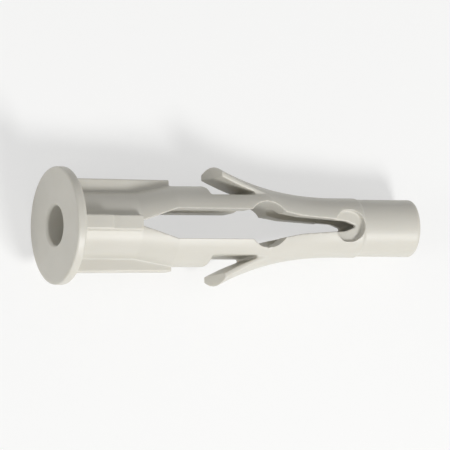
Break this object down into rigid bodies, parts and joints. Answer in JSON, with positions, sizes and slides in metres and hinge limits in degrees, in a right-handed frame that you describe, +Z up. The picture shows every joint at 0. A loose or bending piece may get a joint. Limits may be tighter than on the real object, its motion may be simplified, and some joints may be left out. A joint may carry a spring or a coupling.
{
  "type": "screw anchor",
  "caption": "One-piece nylon wall plug with a collar, anti-turn fins, a slotted expanding barrel, locking tongues and a plain round tip.",
  "frame": {"origin": "middle of the footprint on the ground, as the plug lies on its side on the rim of its collar and the edge of its tip", "axes": "+X along the ground from the collar towards the tip, +Y towards one locking tongue, +Z up, which is the way the slot faces; the plug's own axis slopes down by 4.68 degrees from the collar to the tip"},
  "size_m": [0.0396, 0.012, 0.0119],
  "materials": {
    "polyamide": "undyed moulded polyamide with a satin surface"
  },
  "bodies": {
    "root": {"wall_plug": "polyamide"}
  },
  "joints": []
}
